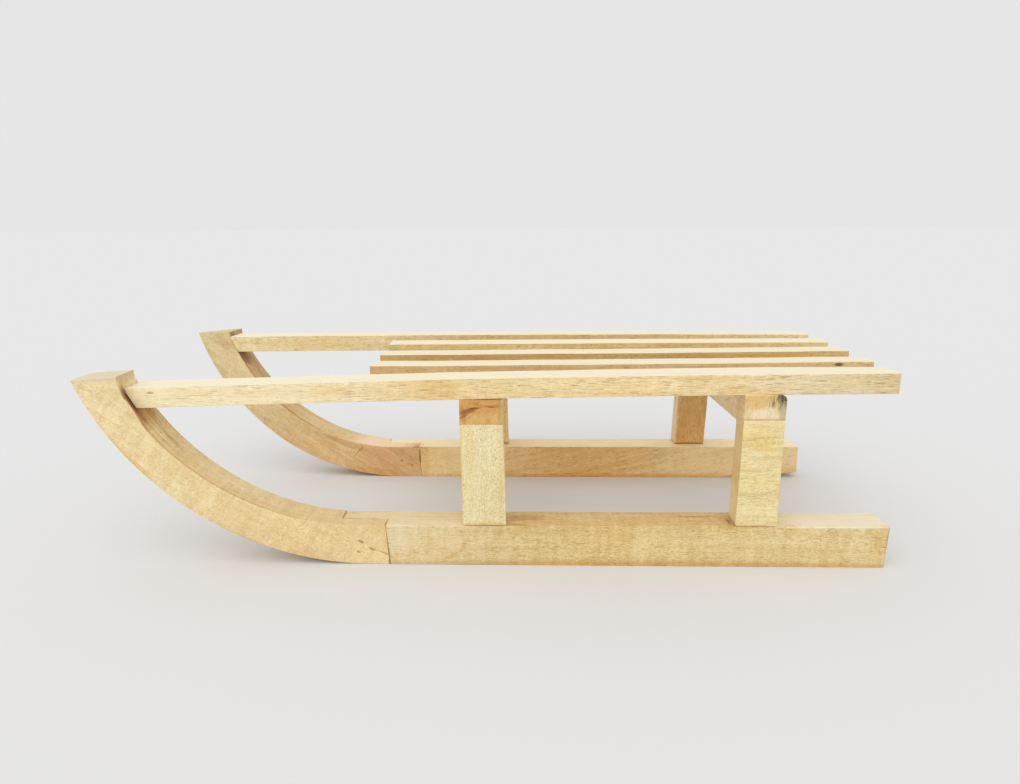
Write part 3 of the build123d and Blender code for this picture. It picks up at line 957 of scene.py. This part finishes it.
            tint((-27, -165, 180), (8.5, 14, 2.8), (0.42, 0.22, 0.14), turn=-17, soft=0.6),
            tint((-19, -165, 183.6), (6.5, 14, 1.0), (0.36, 0.18, 0.12), turn=-6),
            tint((-1.5, -165, 185), (4, 14, 0.8), (0.5, 0.32, 0.22), turn=4),
            tint((-31, -165, 174.6), (5, 14, 1.2), (0.6, 0.38, 0.22), turn=-26),
            tint((-32, -165, 176), (3.5, 14, 9), (0.8, 0.58, 0.44), turn=-10),
            tint((-4, -165, 189), (18, 14, 5), (0.74, 0.56, 0.4), turn=6, lines=(24, 30, 1.5)),
            tint((7.5, -165, 181), (1.8, 10, 16), (0.84, 0.92, 0.7)),
            # painted light on the rear face by the post
            paint((11, -138, 180), (2.5, 18, 24), (246, 218, 184), share=0.7),
            tint((-12, -165, 194.4), (32, 20, 1.6), (0.45, 0.3, 0.18)),
        ]},
    "crossbar_rear": {
        "turn": degrees["across"], "origin": (1.7, 0.9, 0.4),
        "pale": (253, 243, 206), "deep": (230, 204, 144), "pores": 0.4,
        "marks": [
            # the near end: golden, a whitish band below that is a painted highlight, and grey where it
            # is worn and stained
            tint((283, -165, 191), (17, 14, 9), (0.93, 0.82, 0.54), ragged=1.6),
            paint((290, -165, 177), (21, 12, 6), (238, 228, 198), share=0.4, soft=0.7, ragged=1.6),
            paint((289, -165, 178), (21, 12, 7), (246, 241, 226), share=0.32, soft=0.8, ragged=2.2,
                  lines=(1.9, 30, 18)),
            tint((304, -165, 192), (11, 14, 8), (0.34, 0.35, 0.33), share=0.95, ragged=1.6,
                 lines=(1.2, 12, 14)),
            tint((308, -165, 196), (6, 14, 6), (0.22, 0.22, 0.2), share=0.9, ragged=2.0),
            tint((309, -165, 182), (5, 14, 12), (0.62, 0.66, 0.66), ragged=1.6),
            tint((290, -165, 171.2), (24, 14, 1.2), (0.8, 0.68, 0.52), ragged=1.6),
            tint((268, -150, 185), (5, 14, 16), (0.92, 0.86, 0.88)),
        ]},
    # the deck strips have a painted sheen on their tops
    "rail_left": {
        "origin": (5.1, 0.3, 0.7), "topSheen": 0.9, "pale": (251, 240, 204), "deep": (224, 197, 144),
        "pore": (158, 120, 70), "pores": 0.62, "poreLength": 14 * mm, "poreWidth": 0.6 * mm,
        "poreShare": 0.59, "fibres": 1.3, "fibreLength": 22 * mm, "warm": 0.8, "cool": 0.5,
        "marks": [
            # warmer in the middle, greyer at the rear and paler in front, with a dark spot at its end
            tint((60, -163, 210), (210, 60, 60), (0.98, 0.92, 0.79), share=1),
            tint((490, -163, 205), (190, 60, 60), (0.86, 0.82, 0.76), share=1, soft=0.5),
            paint((-330, -163, 205), (170, 60, 60), (252, 240, 194), share=0.3),
            tint((-371.3, -163, 200.4), (4, 10, 1.2), (0.5, 0.38, 0.26)),
        ]},
    "slat_left": {
        "origin": (6.1, 0.4, 0.2), "topSheen": 0.9, "pale": (224, 197, 149), "deep": (192, 152, 94),
        "marks": [tint((397.3, -86.5, 215.4), (5, 3, 1.8), (0.2, 0.12, 0.16), share=0.95, ragged=0.4)]},
    "slat_middle": {
        "origin": (7.3, 0.8, 0.5), "topSheen": 0.9, "pale": (224, 196, 132), "deep": (190, 153, 86),
        "marks": [tint((100, -20, 212), (170, 20, 20), (0.93, 0.9, 0.84), share=1)]},
    "slat_right": {
        "origin": (8.2, 0.6, 0.9), "topSheen": 0.9, "pale": (238, 217, 158), "deep": (204, 171, 99),
        "marks": [tint((-146, 47, 206), (14, 20, 14), (0.74, 0.82, 0.74))]},
    "rail_right": {
        "origin": (9.4, 0.9, 0.3), "topSheen": 0.9, "pale": (250, 240, 198), "deep": (218, 190, 130),
        "marks": [
            tint((120, 146, 214), (290, 60, 60), (0.82, 0.73, 0.66), share=1, soft=0.3)]},
}


def marked(colour, place, rim, mark):
    # tints or paints the colour inside an ellipsoid round the mark's place, out to a soft rim that a
    # noise makes ragged
    centred = place.make("ShaderNodeMapping", {"vector_type": "TEXTURE"}, {
        "Vector": place, "Location": [c * mm for c in mark["at"]],
        "Rotation": (0.0, math.radians(mark["turn"]), 0.0), "Scale": [c * mm for c in mark["size"]]})
    reach = centred.length() + mark["ragged"] * (rim - 0.5)
    share = mark["share"] * reach.between(1 + mark["soft"], 1 - mark["soft"])
    if mark["lines"]:
        scales = [1 / (c * mm) for c in mark["lines"]]
        share = share * place.noise(scales, roughness=0.6).between(*mark["lineShare"])
    if "tint" in mark:
        return share.tinted(colour, mark["tint"])
    return share.mixed(colour, linear(mark["paint"]))


def woodMaterial(node, choices):
    # bare hardwood between a pale and a deep colour: a half, plus each figure's noise less a half times
    # that figure's amount. Over it come warmer and cooler hues, darker end grain, pores where a noise
    # of dashes passes a limit, marks at named places, some of them painted shade and painted light, and
    # a painted sheen that lightens the tops
    w = {**plainWood, **choices}
    s = grainSettings
    turn = [math.radians(t) for t in w["turn"]]
    material = bpy.data.materials.new(node + "_finish")
    material.use_nodes = True
    tree = material.node_tree
    start = Signal(tree)
    place = start.make("ShaderNodeTexCoord", {}, {}, "Object")
    facing = start.make("ShaderNodeTexCoord", {}, {}, "Normal")
    timber = start.make("ShaderNodeAttribute", {"attribute_name": "timber"}, {}, "Vector")
    turned = start.make("ShaderNodeMapping", {}, {
        "Vector": place, "Location": w["origin"], "Rotation": turn})
    drift = turned.noise(s["drift"], output="Color").shifted((-0.5, -0.5, -0.5))
    grain = turned.shifted(drift.scaled(s["driftReach"]))

    def figure(length, width, detail=2.0, roughness=0.6):
        # noise whose features are so long along the grain and so wide across it
        return grain.noise((1 / length, 1 / width, 1 / width), detail, roughness)

    radius = grain.shifted((0.0, w["heart"][0], w["heart"][1])).scaled((0.0, 1.0, 1.0)).length()
    figures = {
        "layers": start.make("ShaderNodeTexNoise", {"noise_dimensions": "1D"}, {
            "W": radius, "Scale": 1 / w["layerGap"], "Detail": 2.0}),
        "streaks": figure(w["streakLength"], w["streakWidth"], detail=4.0),
        "fibres": figure(w["fibreLength"], w["fibreWidth"], detail=3.0),
        "mottle": turned.noise([1 / w["mottleSize"]] * 3, detail=3.0, roughness=0.6),
        "ribbon": figure(w["ribbonGap"], w["ribbonGap"] * w["ribbonLength"]),
        "tone": turned.noise(s["tone"]),
        "specks": figure(w["speckLength"], w["speckWidth"]),
    }
    shade = 0.5
    for name, value in figures.items():
        shade = shade + w[name] * (value - 0.5)
    colour = shade.clamped().mixed(linear(w["pale"]), linear(w["deep"]))

    hue = turned.noise(s["hue"], detail=3.0, roughness=0.6)
    colour = (w["warm"] * hue.between(*s["warmHues"])).tinted(colour, w["warmTint"])
    colour = (w["cool"] * hue.between(*s["coolHues"])).tinted(colour, w["coolTint"])
    alongGrain = start.make("ShaderNodeMapping", {"vector_type": "NORMAL"}, {
        "Vector": facing, "Rotation": turn}).part("X")
    colour = alongGrain.unsigned().between(*s["endFaces"]).tinted(colour, w["endTint"])
    crowd = turned.noise(s["crowd"], detail=1.0)
    dashes = figure(w["poreLength"], w["poreWidth"], detail=1.0, roughness=0.4)
    dashes = dashes + s["crowding"] * (crowd - 0.5)
    pores = dashes.between(w["poreShare"], w["poreShare"] + s["poreRim"])
    colour = (pores * w["pores"]).mixed(colour, linear(w["pore"]))
    for mark in w["marks"]:
        colour = marked(colour, timber if mark["onTimber"] else place, figures["mottle"], mark)
    # painted sheen: up-facing faces mixed towards a paler colour, broken up by streaks and specks
    if w["topSheen"]:
        share = w["topSheen"] + s["sheenStreaks"] * (0.5 - figures["streaks"])
        share = share + s["sheenSpecks"] * (0.5 - figures["specks"])
        share = (facing.part("Z").between(*s["sheenFaces"]) * share).clamped()
        colour = share.mixed(colour, linear(w["sheenColour"]))

    surface = tree.nodes["Principled BSDF"]
    tree.links.new(colour.socket, surface.inputs["Base Color"])
    rough = w["roughness"] + s["roughFibres"] * (figures["fibres"] - 0.5) + s["roughPores"] * pores
    tree.links.new(rough.clamped().socket, surface.inputs["Roughness"])
    relief = s["bumpFibres"] * figures["fibres"] + s["bumpMottle"] * figures["mottle"] - pores
    bump = start.make("ShaderNodeBump", {}, {
        "Height": relief, "Strength": s["bumpStrength"], "Distance": s["bumpDepth"]})
    tree.links.new(bump.socket, surface.inputs["Normal"])
    return material


placeCamera(cameraSettings)
bpy.context.scene.view_settings.view_transform = "Standard"
makeStudio(studioSettings)

# each kind of timber has its own run of seeds
seeds = {"horn": 10, "bar": 20, "post": 30, "crossbar": 40, "strip": 50}
for count, (name, side) in enumerate(hornTable.items()):
    makeHorn(name, side, seeds["horn"] + count)
    makeBar(name, side, seeds["bar"] + count)
print("runners made")
for count, row in enumerate(postTable):
    makePost(*row, seeds["post"] + count)
for count, place in enumerate(crossbarTable):
    makeCrossbar(place, seeds["crossbar"] + count)
print("posts and crossbars made")
for count, row in enumerate(stripTable):
    makeStrip(*row, seeds["strip"] + count)
print("deck made")
